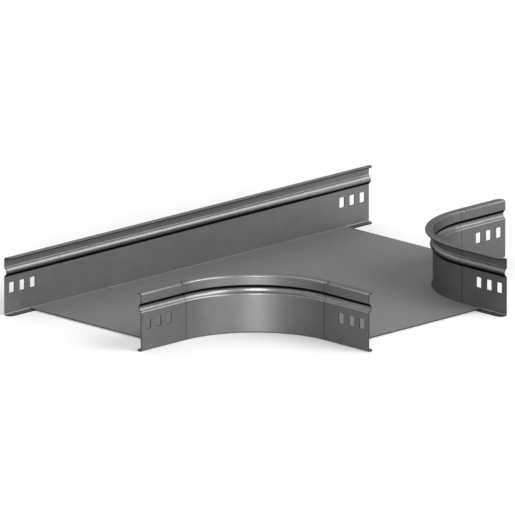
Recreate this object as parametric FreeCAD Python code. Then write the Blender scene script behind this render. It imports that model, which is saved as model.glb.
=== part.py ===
import FreeCAD, Part
import math
import os

from FreeCAD import Vector

# Cable tray tee of folded sheet steel, in millimetres.
# The main run lies along X, the branch leaves it towards -Y, and Z is up.
# The origin is under the middle of the tee, on the surface that it stands on.

# Sheet steel
SHEET = 1.0
BEND_RADIUS = 1.0  # inside of every fold

# Space for the tray that joins each end
CLEAR_WIDTH = 200.0  # between two facing webs
CLEAR_HEIGHT = 60.0  # between a rail's two flanges

# Flanges, turned in along the top and bottom of each rail
FLANGE_WIDTH = 9.0  # from the web's outer face
FLANGE_CORNER_RADIUS = 6.0

# Stiffening bead, pressed into the web from outside
BEAD_CENTRE_BELOW_TOP = 15.5
BEAD_HEIGHT = 11.0
BEAD_DEPTH = 3.0

# Upright bolt slots in the webs, at each end of each rail
SLOTS_PER_END = 3
SLOT_WIDTH = 7.0
SLOT_HEIGHT = 11.0
SLOT_CORNER_RADIUS = 1.0
SLOT_PITCH = 15.0
FIRST_SLOT_FROM_END = 10.0
SLOT_BELOW_BEAD = 7.0  # from the bead's lower edge to the slots' tops

# Corner rails
CORNER_RADIUS = 100.0  # hollow side of the curved web
CURVE_BEYOND_LAST_SLOT = 25.0  # from the last slot's centre to the start of the curve

# Relief nicks in the top fold, where the curved flange meets the straight one
NICK_WIDTH = 1.5
NICK_DEPTH = 2.5  # down from the top
NICK_REACH = 4.0  # in from the web's outer face
NICK_BEFORE_CURVE = 5.0

# Bottom plate
PLATE_THICKNESS = 1.0
PLATE_SETBACK = 35.0  # from each open end of the tee
PLATE_BEND_CLEARANCE = 0.2  # from the plate's edge to the fold beside it

# Overall sizes
OUTER_WIDTH = CLEAR_WIDTH + 2 * SHEET
HEIGHT = CLEAR_HEIGHT + 2 * SHEET
LEG_LENGTH = FIRST_SLOT_FROM_END + (SLOTS_PER_END - 1) * SLOT_PITCH + CURVE_BEYOND_LAST_SLOT
LENGTH = OUTER_WIDTH + 2 * (CORNER_RADIUS + LEG_LENGTH)
DEPTH = OUTER_WIDTH + CORNER_RADIUS + LEG_LENGTH

# Places in the plan, on the outer faces of the webs
BACK_WEB_Y = DEPTH / 2
FRONT_WEB_Y = BACK_WEB_Y - OUTER_WIDTH
BRANCH_END_Y = -DEPTH / 2
RUN_END_X = LENGTH / 2
CURVE_CENTRE_X = RUN_END_X - LEG_LENGTH
CURVE_CENTRE_Y = FRONT_WEB_Y - CORNER_RADIUS
BRANCH_WEB_X = CURVE_CENTRE_X - CORNER_RADIUS

# Heights
BEAD_CENTRE_Z = HEIGHT - BEAD_CENTRE_BELOW_TOP
SLOT_CENTRE_Z = BEAD_CENTRE_Z - BEAD_HEIGHT / 2 - SLOT_BELOW_BEAD - SLOT_HEIGHT / 2

# Radii of the folds, on the sheet's outer face
FOLD_OUTER_RADIUS = BEND_RADIUS + SHEET
BEAD_TURN = 2 * math.degrees(math.atan2(BEAD_DEPTH, BEAD_HEIGHT / 2))
BEAD_GROOVE_RADIUS = BEAD_HEIGHT / 2 / math.sin(math.radians(BEAD_TURN)) - FOLD_OUTER_RADIUS

# How far the plate's edge and the cutting bodies stand from the webs
PLATE_EDGE_INSET = FOLD_OUTER_RADIUS + PLATE_BEND_CLEARANCE
CUT_OVERRUN = SHEET / 2

RIGHT = Vector(1, 0, 0)
BACK = Vector(0, 1, 0)
UP = Vector(0, 0, 1)


def section_point(start, inward, depth, height):
    """Place in a rail's section, from the depth behind the web's outer face and the height."""
    return start + inward * depth + UP * height


def section_arc(start, inward, centre, radius, angles):
    """Round fold in a rail's section. An angle of 0 points inward, and 90 up."""
    points = []
    for angle in (angles[0], sum(angles) / 2, angles[1]):
        turn = math.radians(angle)
        depth = centre[0] + radius * math.cos(turn)
        height = centre[1] + radius * math.sin(turn)
        points.append(section_point(start, inward, depth, height))
    return Part.Arc(*points).toShape()


def sheet_face_line(start, inward, inset):
    """Line of the folded sheet from the top flange's free edge to the bottom one's.

    An inset of 0 gives the outer face, and the sheet's thickness gives the inner face.
    """
    fold = FOLD_OUTER_RADIUS - inset
    groove = BEAD_GROOVE_RADIUS + inset
    bead_top = BEAD_CENTRE_Z + BEAD_HEIGHT / 2
    bead_bottom = BEAD_CENTRE_Z - BEAD_HEIGHT / 2
    groove_centre = BEAD_DEPTH - BEAD_GROOVE_RADIUS
    arcs = [
        ((FOLD_OUTER_RADIUS, HEIGHT - FOLD_OUTER_RADIUS), fold, (90, 180)),
        ((FOLD_OUTER_RADIUS, bead_top), fold, (180, 180 + BEAD_TURN)),
        ((groove_centre, BEAD_CENTRE_Z), groove, (BEAD_TURN, -BEAD_TURN)),
        ((FOLD_OUTER_RADIUS, bead_bottom), fold, (180 - BEAD_TURN, 180)),
        ((FOLD_OUTER_RADIUS, FOLD_OUTER_RADIUS), fold, (180, 270)),
    ]
    last = section_point(start, inward, FLANGE_WIDTH, HEIGHT - inset)
    edges = []
    for centre, radius, angles in arcs:
        arc = section_arc(start, inward, centre, radius, angles)
        if not last.isEqual(arc.firstVertex(True).Point, 1e-6):
            edges.append(Part.LineSegment(last, arc.firstVertex(True).Point).toShape())
        edges.append(arc)
        last = arc.lastVertex(True).Point
    end = section_point(start, inward, FLANGE_WIDTH, inset)
    edges.append(Part.LineSegment(last, end).toShape())
    return edges


def rail_section(start, inward):
    """Section across a rail, at a point under the outer face of its web."""
    edges = sheet_face_line(start, inward, 0) + sheet_face_line(start, inward, SHEET)
    for low, high in ((0, SHEET), (HEIGHT - SHEET, HEIGHT)):
        bottom = section_point(start, inward, FLANGE_WIDTH, low)
        top = section_point(start, inward, FLANGE_WIDTH, high)
        edges.append(Part.LineSegment(bottom, top).toShape())
    return Part.Face(Part.Wire(Part.__sortEdges__(edges)))


def block(corner, along, inward, upward):
    """Straight-sided body with one corner and its three edges given."""
    base = [corner, corner + along, corner + along + inward, corner + inward, corner]
    return Part.Face(Part.makePolygon(base)).extrude(upward)


def slot_cutter(centre, along, inward):
    """Upright bar with rounded edges that cuts one slot through a web."""
    corner = centre - along * (SLOT_WIDTH / 2) - UP * (SLOT_HEIGHT / 2) - inward * CUT_OVERRUN
    through = inward * (SHEET + 2 * CUT_OVERRUN)
    bar = block(corner, along * SLOT_WIDTH, through, UP * SLOT_HEIGHT)
    long_edges = []
    for edge in bar.Edges:
        direction = edge.tangentAt(edge.FirstParameter)
        if direction.cross(inward).Length < 0.5:
            long_edges.append(edge)
    return bar.makeFillet(SLOT_CORNER_RADIUS, long_edges)


def end_slots(end, along, inward):
    """The row of slots at one end of a rail, counted from that end."""
    cutters = []
    for number in range(SLOTS_PER_END):
        reach = FIRST_SLOT_FROM_END + number * SLOT_PITCH
        centre = end + along * reach + UP * SLOT_CENTRE_Z
        cutters.append(slot_cutter(centre, along, inward))
    return cutters


def end_corners(end, along, inward):
    """What is trimmed off the two flanges at one end of a rail, to round their free corners."""
    radius = min(FLANGE_CORNER_RADIUS, FLANGE_WIDTH - FOLD_OUTER_RADIUS)
    side = radius + CUT_OVERRUN
    rise = UP * (SHEET + 2 * CUT_OVERRUN)
    cutters = []
    for flange_z in (0, HEIGHT - SHEET):
        below = end + UP * (flange_z - CUT_OVERRUN)
        centre = below + along * radius + inward * (FLANGE_WIDTH - radius)
        corner = centre - along * side
        square = block(corner, along * side, inward * side, rise)
        rounding = Part.makeCylinder(radius, rise.Length, centre, UP)
        cutters.append(square.cut(rounding))
    return cutters


def fold_nick(curve_start, away, inward):
    """Relief nick through the top fold of a straight leg, a little before the curve."""
    corner = curve_start + away * (NICK_BEFORE_CURVE - NICK_WIDTH / 2)
    corner += UP * (HEIGHT - NICK_DEPTH) - inward * CUT_OVERRUN
    reach = inward * (NICK_REACH + CUT_OVERRUN)
    return block(corner, away * NICK_WIDTH, reach, UP * (NICK_DEPTH + CUT_OVERRUN))


def straight_side_rail():
    """Long rail along the back of the main run."""
    left_end = Vector(-RUN_END_X, BACK_WEB_Y, 0)
    right_end = Vector(RUN_END_X, BACK_WEB_Y, 0)
    rail = rail_section(left_end, -BACK).extrude(RIGHT * LENGTH)
    cutters = end_slots(left_end, RIGHT, -BACK) + end_corners(left_end, RIGHT, -BACK)
    cutters += end_slots(right_end, -RIGHT, -BACK) + end_corners(right_end, -RIGHT, -BACK)
    return rail.cut(cutters)


def corner_rail(outward):
    """Rail from one end of the main run round to the branch. outward points to that end."""
    run_end = outward * RUN_END_X + BACK * FRONT_WEB_Y
    curve_from = outward * CURVE_CENTRE_X + BACK * FRONT_WEB_Y
    curve_to = outward * BRANCH_WEB_X + BACK * CURVE_CENTRE_Y
    branch_end = outward * BRANCH_WEB_X + BACK * BRANCH_END_Y
    curve_centre = outward * CURVE_CENTRE_X + BACK * CURVE_CENTRE_Y
    axis = BACK.cross(-outward)
    run_leg = rail_section(run_end, BACK).extrude(-outward * LEG_LENGTH)
    curve = rail_section(curve_from, BACK).revolve(curve_centre, axis, 90)
    branch_leg = rail_section(curve_to, -outward).extrude(-BACK * LEG_LENGTH)
    cutters = end_slots(run_end, -outward, BACK) + end_corners(run_end, -outward, BACK)
    cutters += end_slots(branch_end, BACK, -outward) + end_corners(branch_end, BACK, -outward)
    cutters.append(fold_nick(curve_from, outward, BACK))
    cutters.append(fold_nick(curve_to, -BACK, -outward))
    return run_leg.fuse([curve, branch_leg]).cut(cutters)


def plate_side(outward):
    """Edge of the plate along one corner rail, from the main run's end to the branch's end."""
    run_x = RUN_END_X - PLATE_SETBACK
    run_y = FRONT_WEB_Y + PLATE_EDGE_INSET
    radius = CORNER_RADIUS + PLATE_EDGE_INSET
    branch_x = CURVE_CENTRE_X - radius
    corner = outward * run_x + BACK * run_y
    curve_from = outward * CURVE_CENTRE_X + BACK * run_y
    curve_to = outward * branch_x + BACK * CURVE_CENTRE_Y
    branch_corner = outward * branch_x + BACK * (BRANCH_END_Y + PLATE_SETBACK)
    centre = outward * CURVE_CENTRE_X + BACK * CURVE_CENTRE_Y
    middle = centre + (BACK - outward) * (radius / math.sqrt(2))
    return [
        Part.LineSegment(corner, curve_from).toShape(),
        Part.Arc(curve_from, middle, curve_to).toShape(),
        Part.LineSegment(curve_to, branch_corner).toShape(),
    ]


def bottom_plate():
    """Flat floor that lies on the bottom flanges of the three rails."""
    left_side = plate_side(-RIGHT)
    right_side = plate_side(RIGHT)
    left_front = left_side[0].firstVertex(True).Point
    right_front = right_side[0].firstVertex(True).Point
    left_back = Vector(left_front.x, BACK_WEB_Y - PLATE_EDGE_INSET, 0)
    right_back = Vector(right_front.x, BACK_WEB_Y - PLATE_EDGE_INSET, 0)
    left_branch = left_side[-1].lastVertex(True).Point
    right_branch = right_side[-1].lastVertex(True).Point
    edges = left_side + right_side
    edges.append(Part.LineSegment(left_front, left_back).toShape())
    edges.append(Part.LineSegment(left_back, right_back).toShape())
    edges.append(Part.LineSegment(right_back, right_front).toShape())
    edges.append(Part.LineSegment(left_branch, right_branch).toShape())
    plate = Part.Face(Part.Wire(Part.__sortEdges__(edges))).extrude(UP * PLATE_THICKNESS)
    plate.translate(UP * SHEET)
    return plate


pieces = {
    "straight_side_rail": straight_side_rail(),
    "left_corner_rail": corner_rail(-RIGHT),
    "right_corner_rail": corner_rail(RIGHT),
    "bottom_plate": bottom_plate(),
}

os.makedirs("parts", exist_ok=True)
for name, shape in pieces.items():
    shape.exportStep(f"parts/{name}.step")
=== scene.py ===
import math

import bmesh
import bpy
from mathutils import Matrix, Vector


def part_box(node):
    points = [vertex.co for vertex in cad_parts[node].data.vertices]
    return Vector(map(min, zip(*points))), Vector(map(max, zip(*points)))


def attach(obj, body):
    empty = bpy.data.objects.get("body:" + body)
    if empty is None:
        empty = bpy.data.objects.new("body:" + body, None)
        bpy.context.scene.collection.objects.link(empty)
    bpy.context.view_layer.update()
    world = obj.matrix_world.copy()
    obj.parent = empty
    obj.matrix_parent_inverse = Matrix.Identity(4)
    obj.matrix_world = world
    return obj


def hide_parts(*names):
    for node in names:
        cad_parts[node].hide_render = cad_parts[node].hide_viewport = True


# The tee as it was packed, in metres: the main run lies along X and the branch leaves it towards -Y.
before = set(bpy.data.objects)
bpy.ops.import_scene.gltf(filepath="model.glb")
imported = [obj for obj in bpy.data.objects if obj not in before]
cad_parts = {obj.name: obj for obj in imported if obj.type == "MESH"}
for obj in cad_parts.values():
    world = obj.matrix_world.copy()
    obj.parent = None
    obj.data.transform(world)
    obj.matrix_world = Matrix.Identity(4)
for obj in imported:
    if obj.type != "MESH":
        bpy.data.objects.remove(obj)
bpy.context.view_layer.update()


# Straight side rail
# One long strip of zinc-coated steel sheet, rolled into a channel whose two flanges turn in over the
# tray. A bead is pressed along its web, and the bolt slots are punched through it near both ends.
RIGHT = Vector((1, 0, 0))
BACK = Vector((0, 1, 0))
UP = Vector((0, 0, 1))

rail_low, rail_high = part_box("straight_side_rail")
RAIL_HEIGHT = rail_high.z - rail_low.z
FLANGE_WIDTH = rail_high.y - rail_low.y
SHEET = 0.001
FOLD_RADIUS = 0.002  # on the outside of every fold
FOLD_STEPS = 8
FLANGE_CORNER_RADIUS = 0.006

BEAD_HEIGHT = 0.011
BEAD_DEPTH = 0.003
BEAD_BELOW_TOP = 0.0155  # from the rail's top to the bead's centre
BEAD_CENTRE = RAIL_HEIGHT - BEAD_BELOW_TOP
BEAD_TURN = 2 * math.atan2(BEAD_DEPTH, BEAD_HEIGHT / 2)
GROOVE_RADIUS = BEAD_HEIGHT / 2 / math.sin(BEAD_TURN) - FOLD_RADIUS

SLOT_WIDTH = 0.007
SLOT_HEIGHT = 0.011
SLOT_CORNER_RADIUS = 0.001
SLOT_CORNER_STEPS = 6
SLOT_PLACES = (0.010, 0.025, 0.040)  # from a rail's end to each slot's centre
SLOT_BELOW_BEAD = 0.007
SLOT_CENTRE = BEAD_CENTRE - BEAD_HEIGHT / 2 - SLOT_BELOW_BEAD - SLOT_HEIGHT / 2
PUNCH_DEPTH = 3 * SHEET

BURR = 0.00012  # what the shears and the punch leave rounded along a cut edge
BURR_STEPS = 2
CUT_EDGE_TURN = math.radians(40)  # a cut edge turns by more than this, a step of a fold by less
FLAT_FACE_WEIGHT = 100  # lets the flat faces rule the shading beside a burr
SHEET_FINISH, CUT_FINISH, BEND_FINISH = range(3)  # order of the finishes on a rail


def points_in(made):
    """The vertices among what an operator has made."""
    return [part for part in made if isinstance(part, bmesh.types.BMVert)]


def lines_in(made):
    """The edges among what an operator has made."""
    return [part for part in made if isinstance(part, bmesh.types.BMEdge)]


def run_to(strip, tip, place):
    """Carries the section's line straight on to a place, and returns its new tip."""
    across = strip.verts.layers.float["across"]
    new_tip = bmesh.ops.extrude_vert_indiv(strip, verts=[tip])["verts"][0]
    new_tip[across] += (place - tip.co).length
    new_tip.co = place
    return new_tip


def roll_round(strip, tip, centre, turn, axis, steps):
    """Carries the section's line round a fold, which the rolls burnish, and returns its new tip. The
    burnish it records makes the fold smoother and lighter, the lightness partly a painted highlight.
    """
    across = strip.verts.layers.float["across"]
    burnish = strip.verts.layers.float["burnish"]
    step_length = (tip.co - centre).length * abs(turn) / steps
    for step in range(steps):
        made = bmesh.ops.spin(strip, geom=[tip], cent=centre, axis=axis, angle=turn / steps, steps=1)
        tip = points_in(made["geom_last"])[0]
        tip[across] += step_length
        tip[burnish] = math.sin(math.pi * (step + 1) / steps)
    return tip


def mark_bead(strip, centre):
    """Marks the points of the bead, whose centre lies at a given height; the finish paints shade on its
    downward side.
    """
    bead = strip.verts.layers.float["bead"]
    for point in strip.verts:
        if abs(point.co.z - centre) < BEAD_HEIGHT / 2 - BURR:
            point[bead] = 1


def draw_section(strip, start, inward):
    """Draws the rolled section's line, from the top flange's free edge to the bottom's."""
    axis = inward.cross(UP)

    def place(depth, height):
        return start + inward * depth + UP * height

    bead_top = BEAD_CENTRE + BEAD_HEIGHT / 2
    bead_bottom = BEAD_CENTRE - BEAD_HEIGHT / 2
    top_fold = place(FOLD_RADIUS, RAIL_HEIGHT - FOLD_RADIUS)
    groove = place(BEAD_DEPTH - GROOVE_RADIUS, BEAD_CENTRE)
    bottom_fold = place(FOLD_RADIUS, FOLD_RADIUS)
    tip = bmesh.ops.create_vert(strip, co=place(FLANGE_WIDTH, RAIL_HEIGHT))["vert"][0]
    tip = run_to(strip, tip, place(FOLD_RADIUS, RAIL_HEIGHT))
    tip = roll_round(strip, tip, top_fold, math.pi / 2, axis, FOLD_STEPS)
    tip = run_to(strip, tip, place(0, bead_top))
    tip = roll_round(strip, tip, place(FOLD_RADIUS, bead_top), BEAD_TURN, axis, FOLD_STEPS)
    tip = roll_round(strip, tip, groove, -2 * BEAD_TURN, axis, 2 * FOLD_STEPS)
    tip = roll_round(strip, tip, place(FOLD_RADIUS, bead_bottom), BEAD_TURN, axis, FOLD_STEPS)
    tip = run_to(strip, tip, place(0, FOLD_RADIUS))
    tip = roll_round(strip, tip, bottom_fold, math.pi / 2, axis, FOLD_STEPS)
    run_to(strip, tip, place(FLANGE_WIDTH, 0))


def start_strip(start, inward):
    """A strip with the rolled section at one end, and the edges of that section.

    start lies under the outer face of the web, and inward points from there to the cables.
    """
    strip = bmesh.new()
    for measure in ("along", "across", "burnish", "bead"):
        strip.verts.layers.float.new(measure)
    draw_section(strip, start, inward)
    mark_bead(strip, start.z + BEAD_CENTRE)
    return strip, list(strip.edges)


def finish_new_faces(strip, older, finish):
    """Gives a finish to the faces that aren't among the older ones."""
    for face in set(strip.faces) - older:
        face.material_index = finish


def draw_on(strip, cross_line, move, finish=SHEET_FINISH):
    """Draws the strip straight on from its last cross line, and returns the new one."""
    along = strip.verts.layers.float["along"]
    older = set(strip.faces)
    made = bmesh.ops.extrude_edge_only(strip, edges=cross_line)["geom"]
    bmesh.ops.translate(strip, verts=points_in(made), vec=move)
    for point in points_in(made):
        point[along] += move.length
    finish_new_faces(strip, older, finish)
    return lines_in(made)


def round_flange_corners(strip, end_place, along_rail):
    """Rounds the free corner of both flanges at one end of the strip."""
    corners = []
    for point in strip.verts:
        at_end = abs((point.co - end_place).dot(along_rail)) < BURR
        if at_end and len(point.link_edges) == 2:
            corners.append(point)
    strip.normal_update()
    bmesh.ops.bevel(
        strip, geom=corners, offset=FLANGE_CORNER_RADIUS, segments=FOLD_STEPS, profile=0.5,
        affect="VERTICES", material=-1)


def map_sheet(strip):
    """Lays a map on the strip that follows its rolling: distance along it, and across it."""
    sheet_map = strip.loops.layers.uv.new("sheet")
    along = strip.verts.layers.float["along"]
    across = strip.verts.layers.float["across"]
    for face in strip.faces:
        for loop in face.loops:
            loop[sheet_map].uv = (loop.vert[along], loop.vert[across])


def face_out(strip, inward):
    """Turns all faces of a strip away from the cables. inward points to them at the strip's start."""
    bmesh.ops.recalc_face_normals(strip, faces=strip.faces)
    lean = sum((face.normal * face.calc_area() for face in strip.faces), Vector())
    if lean.dot(inward) > 0:
        bmesh.ops.reverse_faces(strip, faces=strip.faces)


def add_box(body, centre, along, inward, size):
    """Adds a box to a body: its width lies along the rail, its depth inward and its height up."""
    corners = bmesh.ops.create_cube(body, size=1)["verts"]
    for corner in corners:
        width, depth, height = corner.co
        corner.co = centre + along * width * size[0] + inward * depth * size[1] + UP * height * size[2]
    bmesh.ops.recalc_face_normals(body, faces=body.faces)  # the bevel fails on a box turned inside out
    return [edge for edge in body.edges if edge.verts[0] in corners]


def add_slot_punches(punches, rail_end, along, inward):
    """Adds the punches for the row of slots at one end of a rail."""
    for reach in SLOT_PLACES:
        centre = rail_end + along * reach + UP * SLOT_CENTRE + inward * (SHEET / 2)
        through_edges = []
        for edge in add_box(punches, centre, along, inward, (SLOT_WIDTH, PUNCH_DEPTH, SLOT_HEIGHT)):
            edge_line = edge.verts[0].co - edge.verts[1].co
            if abs(edge_line.dot(inward)) > SHEET:
                through_edges.append(edge)
        bmesh.ops.bevel(
            punches, geom=through_edges, offset=SLOT_CORNER_RADIUS, segments=SLOT_CORNER_STEPS,
            profile=0.5, affect="EDGES", material=-1)


def as_object(name, body):
    """Turns a body into an object in the scene, with its place in its mesh."""
    mesh = bpy.data.meshes.new(name)
    body.to_mesh(mesh)
    body.free()
    made = bpy.data.objects.new(name, mesh)
    bpy.context.scene.collection.objects.link(made)
    return made


def punches_as_object(name, punches):
    """Turns the punches into one body that leaves bare steel where it has cut."""
    bmesh.ops.recalc_face_normals(punches, faces=punches.faces)  # the bevel can turn a box inside out
    for face in punches.faces:
        face.material_index = CUT_FINISH
    cutter = as_object(name, punches)
    cutter.hide_render = True
    return cutter


def thicken(piece):
    """Gives a sheet its thickness, with bare steel round its rim."""
    thickness = piece.modifiers.new("thickness", "SOLIDIFY")
    thickness.thickness = SHEET
    thickness.offset = -1  # behind the face that was drawn
    thickness.use_even_offset = True
    thickness.material_offset_rim = CUT_FINISH


def cut_with(piece, cutter):
    """Cuts a body out of a piece."""
    punch = piece.modifiers.new("punch", "BOOLEAN")
    punch.operation = "DIFFERENCE"
    punch.solver = "EXACT"
    punch.object = cutter


def soften_cut_edges(piece):
    """Rounds the cut edges of a piece and evens its shading."""
    soften = piece.modifiers.new("soften", "BEVEL")
    soften.limit_method = "ANGLE"
    soften.angle_limit = CUT_EDGE_TURN
    soften.width = BURR
    soften.segments = BURR_STEPS
    soften.material = CUT_FINISH
    even = piece.modifiers.new("even", "WEIGHTED_NORMAL")
    even.weight = FLAT_FACE_WEIGHT
    for polygon in piece.data.polygons:
        polygon.use_smooth = True


def keep_result(piece):
    """Makes what the modifiers show the piece's own mesh."""
    bpy.context.view_layer.update()
    finished = piece.evaluated_get(bpy.context.evaluated_depsgraph_get())
    mesh = bpy.data.meshes.new_from_object(finished)
    piece.modifiers.clear()
    piece.data = mesh


def finish_piece(piece, cutter=None):
    """Turns a drawn face into finished sheet, punched by the cutter if there is one."""
    thicken(piece)
    if cutter is not None:
        cut_with(piece, cutter)
    soften_cut_edges(piece)
    keep_result(piece)
    if cutter is not None:
        bpy.data.objects.remove(cutter)


# Finish of the rails: satin grey zinc, burnished by the rolls, with fine streaks along the strip and the
# faint patchwork of the zinc's crystals.
# The folds are painted lighter, partly burnish and partly a painted highlight, and the bead's downward side
# gets painted shade.
# Sheared and punched edges show the bare, darker steel.
ROLLED_ZINC = ((0.116, 0.117, 0.119), (0.155, 0.156, 0.158))
ROLLED_METALLIC = 0.9
ROLLED_ROUGHNESS = (0.47, 0.57)
ROLLED_GRAIN = 0.45  # how far the rolling marks draw a highlight out across the strip
MATT_SPECULAR = 0.1  # zinc's matt skin and torn steel hardly reflect at a low angle
LOW_ANGLE_SHINE = (0.25, 0.25, 0.25, 1)  # share that the metal under the skin still reflects there
BURNISH_AND_PAINTED_HIGHLIGHT = 1.4  # how much lighter a fold is painted than the flat sheet: partly burnish, partly a painted highlight
BURNISH_SMOOTHING = 0.25  # how much less rough it is
BEAD_PAINTED_SHADE_RISE = (-0.45, -0.02)  # upward part of the bead's normal, from full painted shade to none
BEAD_PAINTED_SHADE = 0.05  # how dark the painted shade makes the bead's downward side beside the rest
STREAKS = (14, 1100, 1)  # to the metre: along the strip, across it
CRYSTALS = 120  # to the metre
CLOUDS = 9  # to the metre
GRAIN = 2400  # to the metre
STREAK_DETAIL = 3
PATTERN_DETAIL = 2
STREAK_TONE = 0.5  # share of each pattern in the sheet's tone
CRYSTAL_TONE = 0.2
CLOUD_TONE = 0.3
STREAK_RELIEF = 0.7  # share of each pattern in the sheet's relief
GRAIN_RELIEF = 0.3
RELIEF_HEIGHT = 0.00003
RELIEF_STRENGTH = 0.15
ACROSS_ROLLING = 0.25  # a quarter turn from the direction of the rolling
CUT_STEEL = ((0.006, 0.006, 0.007), (0.022, 0.022, 0.023))
CUT_METALLIC = 0.1
CUT_ROUGHNESS = 0.7
STRAIGHT_RAIL_PAINTED_LIGHT = 1.12  # painted light: the straight rail's zinc is made lighter than the corner rails' to make up for the light it misses
BEND_MARK_SHADE = 0.35  # how dark the bending mark is beside the sheet


def add_node(tree, kind, **inputs):
    """Adds a node to a material, with a value or a link for each input that is named."""
    node = tree.nodes.new("ShaderNode" + kind)
    for name, value in inputs.items():
        socket = node.inputs[name.replace("_", " ")]
        if isinstance(value, bpy.types.NodeSocket):
            tree.links.new(value, socket)
        else:
            socket.default_value = value
    return node


def blend_tones(tree, tones):
    """Adds up patterns, each with its share."""
    total = None
    for pattern, share in tones:
        step = tree.nodes.new("ShaderNodeMath")
        step.operation = "MULTIPLY_ADD"
        tree.links.new(pattern, step.inputs[0])
        step.inputs[1].default_value = share
        step.inputs[2].default_value = 0
        if total is not None:
            tree.links.new(total, step.inputs[2])
        total = step.outputs["Value"]
    return total


def two_greys(tree, tone, greys, shade=1):
    """Turns a pattern into colour, from the darker grey to the lighter one."""
    ramp = add_node(tree, "ValToRGB", Fac=tone)
    for stop, grey in zip(ramp.color_ramp.elements, greys):
        stop.color = [value * shade for value in grey] + [1]
    return ramp.outputs["Color"]


def measure_on(tree, name):
    """Reads a measure that the strip's points carry."""
    measure = add_node(tree, "Attribute")
    measure.attribute_name = name
    return measure.outputs["Fac"]


def scale_colour(tree, colour, strength):
    """Makes a colour lighter or darker."""
    scaled = tree.nodes.new("ShaderNodeVectorMath")
    scaled.operation = "SCALE"
    tree.links.new(colour, scaled.inputs["Vector"])
    tree.links.new(strength, scaled.inputs["Scale"])
    return scaled.outputs["Vector"]


def spread(tree, value, low, high):
    """Spreads a value of 0 to 1 between two others."""
    return add_node(tree, "MapRange", Value=value, To_Min=low, To_Max=high).outputs["Result"]


def bead_painted_shade(tree):
    """1 all over the sheet, but low on the side of the bead that faces down.

    That downward side is painted darker: painted shade, standing for the shade it lies in.
    """
    normal = add_node(tree, "NewGeometry").outputs["Normal"]
    rise = add_node(tree, "SeparateXYZ", Vector=normal).outputs["Z"]
    shaded = add_node(
        tree, "MapRange", Value=rise, From_Min=BEAD_PAINTED_SHADE_RISE[0], From_Max=BEAD_PAINTED_SHADE_RISE[1], To_Min=BEAD_PAINTED_SHADE,
        To_Max=1).outputs["Result"]
    return spread(tree, measure_on(tree, "bead"), 1, shaded)


def sheet_patterns(tree):
    """Tone and relief of the sheet: streaks along the rolling, crystals, clouds and a fine grain."""
    place = add_node(tree, "UVMap")
    place.uv_map = "sheet"
    place = place.outputs["UV"]
    stretched = add_node(tree, "Mapping", Vector=place, Scale=STREAKS).outputs["Vector"]
    streaks = add_node(tree, "TexNoise", Vector=stretched, Scale=1, Detail=STREAK_DETAIL).outputs["Fac"]
    crystals = add_node(tree, "TexVoronoi", Vector=place, Scale=CRYSTALS).outputs["Color"]
    crystals = add_node(tree, "SeparateColor", Color=crystals).outputs["Red"]
    clouds = add_node(tree, "TexNoise", Vector=place, Scale=CLOUDS, Detail=PATTERN_DETAIL).outputs["Fac"]
    grain = add_node(tree, "TexNoise", Vector=place, Scale=GRAIN, Detail=PATTERN_DETAIL).outputs["Fac"]
    tone = blend_tones(tree, ((streaks, STREAK_TONE), (crystals, CRYSTAL_TONE), (clouds, CLOUD_TONE)))
    relief = blend_tones(tree, ((streaks, STREAK_RELIEF), (grain, GRAIN_RELIEF)))
    return tone, relief


def zinc_finish(name, greys, metallic, roughness_range, grain_pull, shade=1):
    """Zinc-coated sheet, whose burnished folds are smoother and painted lighter, partly as a painted
    highlight, and whose bead gets painted shade on its downward side. shade scales its greys: darker for
    the bending mark, painted light for the straight rail.
    """
    material = bpy.data.materials.new(name)
    material.use_nodes = True
    tree = material.node_tree
    rolling = add_node(tree, "Tangent")
    rolling.direction_type = "UV_MAP"
    rolling.uv_map = "sheet"
    tone, relief = sheet_patterns(tree)
    bump = add_node(tree, "Bump", Height=relief, Strength=RELIEF_STRENGTH, Distance=RELIEF_HEIGHT)
    burnish = measure_on(tree, "burnish")
    roughness = spread(tree, tone, *roughness_range)
    roughness = blend_tones(tree, ((roughness, 1), (burnish, -BURNISH_SMOOTHING)))
    # painted shade on the bead's downward side
    colour = scale_colour(tree, two_greys(tree, tone, greys, shade), bead_painted_shade(tree))
    # painted highlight, partly burnish: the folds' colour is made lighter
    colour = scale_colour(tree, colour, spread(tree, burnish, 1, BURNISH_AND_PAINTED_HIGHLIGHT))

    shader = tree.nodes["Principled BSDF"]
    shader.inputs["Metallic"].default_value = metallic
    shader.inputs["Specular IOR Level"].default_value = MATT_SPECULAR
    shader.inputs["Specular Tint"].default_value = LOW_ANGLE_SHINE
    shader.inputs["Anisotropic"].default_value = grain_pull
    shader.inputs["Anisotropic Rotation"].default_value = ACROSS_ROLLING
    tree.links.new(rolling.outputs["Tangent"], shader.inputs["Tangent"])
    tree.links.new(colour, shader.inputs["Base Color"])
    tree.links.new(roughness, shader.inputs["Roughness"])
    tree.links.new(bump.outputs["Normal"], shader.inputs["Normal"])
    return material


def cut_finish(name):
    """Bare steel where the sheet was sheared or punched."""
    material = bpy.data.materials.new(name)
    material.use_nodes = True
    tree = material.node_tree
    place = add_node(tree, "TexCoord").outputs["Object"]
    scores = add_node(tree, "TexNoise", Vector=place, Scale=GRAIN, Detail=PATTERN_DETAIL).outputs["Fac"]
    shader = tree.nodes["Principled BSDF"]
    shader.inputs["Metallic"].default_value = CUT_METALLIC
    shader.inputs["Specular IOR Level"].default_value = MATT_SPECULAR
    shader.inputs["Roughness"].default_value = CUT_ROUGHNESS
    tree.links.new(two_greys(tree, scores, CUT_STEEL), shader.inputs["Base Color"])
    return material


rolled = (ROLLED_ZINC, ROLLED_METALLIC, ROLLED_ROUGHNESS, ROLLED_GRAIN)
sheared_edge = cut_finish("sheared_edge")
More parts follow.
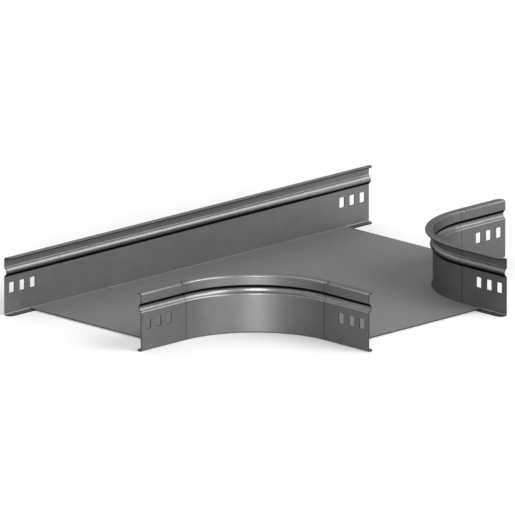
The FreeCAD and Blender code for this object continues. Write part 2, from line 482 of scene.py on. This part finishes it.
# painted light: the straight rail gets a lighter copy of the rolled zinc
painted_lighter_zinc = zinc_finish("rolled_zinc_painted_lighter", *rolled, STRAIGHT_RAIL_PAINTED_LIGHT)
corner_finishes = [
    zinc_finish("rolled_zinc", *rolled),
    sheared_edge,
    zinc_finish("bending_mark", *rolled, BEND_MARK_SHADE),
]


def put_finishes_on(piece, finishes):
    """Gives a piece its finishes, in the order of SHEET_FINISH, CUT_FINISH and BEND_FINISH."""
    for finish in finishes:
        piece.data.materials.append(finish)


rail_start = Vector((rail_low.x, rail_high.y, rail_low.z))
rail_stop = Vector((rail_high.x, rail_high.y, rail_low.z))
strip, cross_line = start_strip(rail_start, -BACK)
draw_on(strip, cross_line, rail_stop - rail_start)
punches = bmesh.new()
for rail_end, along in ((rail_start, RIGHT), (rail_stop, -RIGHT)):
    round_flange_corners(strip, rail_end, along)
    add_slot_punches(punches, rail_end, along, -BACK)
map_sheet(strip)
face_out(strip, -BACK)
straight_rail = as_object("straight_rail", strip)
put_finishes_on(straight_rail, [painted_lighter_zinc, sheared_edge])
finish_piece(straight_rail, punches_as_object("straight_rail_punches", punches))
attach(straight_rail, "root")
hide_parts("straight_side_rail")


# Corner rails
# Two shorter strips with the same rolled section, bent a quarter turn from the main run into the branch.
# A small nick in the top fold beside each end of the bend lets the curved flange gather.
corner_low, corner_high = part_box("right_corner_rail")
LEG_LENGTH = 0.065
CURVE_RADIUS = corner_high.x - corner_low.x - FLANGE_WIDTH - LEG_LENGTH
CURVE_STEPS = 72
BEND_MARK = 0.0008  # width of the mark that the bending rolls leave where the curve starts
NICK_WIDTH = 0.0015
NICK_DEPTH = 0.0025  # down from the top
NICK_REACH = 0.004  # in from the web's outer face
NICK_BEFORE_CURVE = 0.005


def bend_on(strip, cross_line, centre, axis):
    """Bends the strip a quarter turn round an upright axis, and returns its new cross line."""
    along = strip.verts.layers.float["along"]
    turn = math.pi / 2 / CURVE_STEPS
    older = set(strip.faces)
    for _ in range(CURVE_STEPS):
        points = list(dict.fromkeys(point for edge in cross_line for point in edge.verts))
        made = bmesh.ops.spin(
            strip, geom=points + cross_line, cent=centre, axis=axis, angle=turn, steps=1)["geom_last"]
        for point in points_in(made):
            point[along] += CURVE_RADIUS * turn
        cross_line = lines_in(made)
    finish_new_faces(strip, older, SHEET_FINISH)
    return cross_line


def add_nick_punch(punches, curve_end, away, inward):
    """Adds the punch for the nick in the top fold, on the straight leg beside the curve's end."""
    depth = NICK_REACH + SHEET
    height = NICK_DEPTH + SHEET
    centre = curve_end + away * NICK_BEFORE_CURVE + inward * (NICK_REACH - depth / 2)
    centre += UP * (RAIL_HEIGHT - NICK_DEPTH + height / 2)
    add_box(punches, centre, away, inward, (NICK_WIDTH, depth, height))


for side, outward in (("left", -RIGHT), ("right", RIGHT)):
    run_end = outward * corner_high.x + BACK * (corner_high.y - FLANGE_WIDTH)
    branch_end = outward * (corner_low.x + FLANGE_WIDTH) + BACK * corner_low.y
    curve_start = run_end - outward * LEG_LENGTH
    curve_stop = branch_end + BACK * LEG_LENGTH
    strip, cross_line = start_strip(run_end, BACK)
    cross_line = draw_on(strip, cross_line, -outward * (LEG_LENGTH - BEND_MARK))
    cross_line = draw_on(strip, cross_line, -outward * BEND_MARK, BEND_FINISH)
    cross_line = bend_on(strip, cross_line, curve_start - BACK * CURVE_RADIUS, BACK.cross(-outward))
    cross_line = draw_on(strip, cross_line, -BACK * BEND_MARK, BEND_FINISH)
    draw_on(strip, cross_line, -BACK * (LEG_LENGTH - BEND_MARK))
    punches = bmesh.new()
    for rail_end, along, inward in ((run_end, -outward, BACK), (branch_end, BACK, -outward)):
        round_flange_corners(strip, rail_end, along)
        add_slot_punches(punches, rail_end, along, inward)
    add_nick_punch(punches, curve_start, outward, BACK)
    add_nick_punch(punches, curve_stop, -BACK, -outward)
    map_sheet(strip)
    face_out(strip, BACK)
    corner_rail = as_object(side + "_corner", strip)
    put_finishes_on(corner_rail, corner_finishes)
    finish_piece(corner_rail, punches_as_object(side + "_corner_punches", punches))
    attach(corner_rail, "root")
    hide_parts(side + "_corner_rail")


# Floor plate
# A flat tee cut from the same sheet, which keeps its dull mill finish. It lies on the rails' bottom
# flanges, where it is spot welded, and stops short of the open ends, where the next tray's floor comes in.
MILL_ZINC = ((0.174, 0.175, 0.177), (0.217, 0.218, 0.220))
MILL_METALLIC = 0.4
MILL_ROUGHNESS = (0.74, 0.86)
MILL_GRAIN = 0  # its dull skin hides the rolling marks
plate_low, plate_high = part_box("bottom_plate")
PLATE_EDGE_INSET = rail_high.y - plate_high.y  # from a web's outer face to the plate's edge
PLATE_CURVE_STEPS = 64


def half_outline():
    """Right half of the plate's edge, from the middle of its back to the middle of its branch end."""
    plate = bmesh.new()
    for measure in ("across", "burnish", "bead"):
        plate.verts.layers.float.new(measure)
    radius = CURVE_RADIUS + PLATE_EDGE_INSET
    centre = Vector((corner_high.x - LEG_LENGTH, corner_high.y - FLANGE_WIDTH - CURVE_RADIUS, plate_high.z))
    tip = bmesh.ops.create_vert(plate, co=(0, plate_high.y, plate_high.z))["vert"][0]
    tip = run_to(plate, tip, plate_high)
    tip = run_to(plate, tip, Vector((plate_high.x, centre.y + radius, plate_high.z)))
    tip = run_to(plate, tip, centre + BACK * radius)
    tip = roll_round(plate, tip, centre, math.pi / 2, UP, PLATE_CURVE_STEPS)
    tip = run_to(plate, tip, Vector((tip.co.x, plate_low.y, plate_high.z)))
    run_to(plate, tip, Vector((0, plate_low.y, plate_high.z)))
    burnish = plate.verts.layers.float["burnish"]
    for point in plate.verts:
        point[burnish] = 0  # its curves are cut, not rolled
    return plate


plate = half_outline()
bmesh.ops.mirror(plate, geom=list(plate.verts) + list(plate.edges), axis="X", merge_dist=SHEET / 10)
bmesh.ops.contextual_create(plate, geom=list(plate.edges))
sheet_map = plate.loops.layers.uv.new("sheet")
for face in plate.faces:
    for loop in face.loops:
        loop[sheet_map].uv = loop.vert.co.xy
face_out(plate, -UP)
floor_plate = as_object("floor_plate", plate)
mill_zinc = zinc_finish("mill_zinc", MILL_ZINC, MILL_METALLIC, MILL_ROUGHNESS, MILL_GRAIN)
put_finishes_on(floor_plate, [mill_zinc, sheared_edge])
finish_piece(floor_plate)
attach(floor_plate, "root")
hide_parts("bottom_plate")


# Studio
# The tee stands on a plain white floor in soft, even light, and a long lens looks down on its front
# corner, from so far away that parallel edges stay parallel.
FLOOR_RADIUS = 40
FLOOR_SIDES = 64
FLOOR_WHITE = (0.8, 0.8, 0.8, 1)
FLOOR_LIFT = 0.23  # brings the floor's own white up to the paper white of the photograph
FLOOR_BOUNCE = (0.05, 0.05, 0.05, 1)  # its colour as a source of light on the tee
SURROUND = 1  # brightness of the white round the tee, where the camera or a reflection sees it
SKY_WHITE = (1, 1, 1, 1)
AMBIENT = 0.11  # brightness of the same white as light on the tee
LAMPS = (
    # name, azimuth, elevation, spread (all in degrees), power
    ("front_left_lamp", -47, 8, 20, 3.0),
    ("front_lamp", -4, 13, 20, 0.95),
    ("right_lamp", 28, 36, 45, 2.35),
    ("back_lamp", 165, 44, 90, 1.4),
)
LENS = 1600  # in millimetres, as the sensor's width is
SENSOR_WIDTH = 36
CAMERA_AZIMUTH = -44.77  # in degrees from the front
CAMERA_ELEVATION = 15.07
CAMERA_DISTANCE = 23.744
CAMERA_AIM = Vector((0.00075, 0.08103, 0.031))  # in metres, as the distance is


def direction(azimuth, elevation):
    """Direction from the tee to something that stands round it, with both angles in degrees."""
    turn = math.radians(azimuth)
    rise = math.radians(elevation)
    return Vector((math.sin(turn) * math.cos(rise), -math.cos(turn) * math.cos(rise), math.sin(rise)))


def seen_directly(tree):
    """1 for what the camera sees, and for what shows in a reflection, and 0 for light that bounces."""
    path = tree.nodes.new("ShaderNodeLightPath")
    seen = path.outputs["Is Camera Ray"]
    for ray in ("Is Glossy Ray", "Is Transmission Ray"):
        either = tree.nodes.new("ShaderNodeMath")
        either.operation = "MAXIMUM"
        tree.links.new(seen, either.inputs[0])
        tree.links.new(path.outputs[ray], either.inputs[1])
        seen = either.outputs["Value"]
    return seen


def paper_floor():
    """White floor that keeps the tee's shadow."""
    material = bpy.data.materials.new("paper_floor")
    material.use_nodes = True
    tree = material.node_tree
    white = add_node(tree, "BsdfDiffuse", Color=FLOOR_WHITE).outputs["BSDF"]
    lift = add_node(tree, "Emission", Strength=FLOOR_LIFT).outputs["Emission"]
    bounce = add_node(tree, "BsdfDiffuse", Color=FLOOR_BOUNCE).outputs["BSDF"]
    lifted = tree.nodes.new("ShaderNodeAddShader")
    tree.links.new(white, lifted.inputs[0])
    tree.links.new(lift, lifted.inputs[1])
    mixed = tree.nodes.new("ShaderNodeMixShader")
    tree.links.new(seen_directly(tree), mixed.inputs["Fac"])
    tree.links.new(bounce, mixed.inputs[1])
    tree.links.new(lifted.outputs[0], mixed.inputs[2])
    tree.links.new(mixed.outputs[0], tree.nodes["Material Output"].inputs["Surface"])
    return material


floor = bmesh.new()
bmesh.ops.create_circle(floor, cap_ends=True, segments=FLOOR_SIDES, radius=FLOOR_RADIUS)
studio_floor = as_object("studio_floor", floor)
studio_floor.data.materials.append(paper_floor())

world = bpy.data.worlds.new("studio")
bpy.context.scene.world = world
world.use_nodes = True
sky = world.node_tree.nodes["Background"]
strength = world.node_tree.nodes.new("ShaderNodeMapRange")
strength.inputs["To Min"].default_value = AMBIENT
strength.inputs["To Max"].default_value = SURROUND
world.node_tree.links.new(seen_directly(world.node_tree), strength.inputs["Value"])
world.node_tree.links.new(strength.outputs["Result"], sky.inputs["Strength"])
sky.inputs["Color"].default_value = SKY_WHITE

for name, azimuth, elevation, spread, power in LAMPS:
    lamp = bpy.data.objects.new(name, bpy.data.lights.new(name, "SUN"))
    lamp.data.angle = math.radians(spread)
    lamp.data.energy = power
    lamp.rotation_euler = direction(azimuth, elevation).to_track_quat("Z", "Y").to_euler()
    bpy.context.scene.collection.objects.link(lamp)

camera = bpy.data.objects.new("camera", bpy.data.cameras.new("camera"))
camera.data.sensor_width = SENSOR_WIDTH
camera.data.lens = LENS
camera.data.clip_end = 2 * CAMERA_DISTANCE
camera.location = CAMERA_AIM + direction(CAMERA_AZIMUTH, CAMERA_ELEVATION) * CAMERA_DISTANCE
camera.rotation_euler = direction(CAMERA_AZIMUTH, CAMERA_ELEVATION).to_track_quat("Z", "Y").to_euler()
bpy.context.scene.collection.objects.link(camera)
bpy.context.scene.camera = camera
bpy.context.scene.view_settings.view_transform = "Standard"
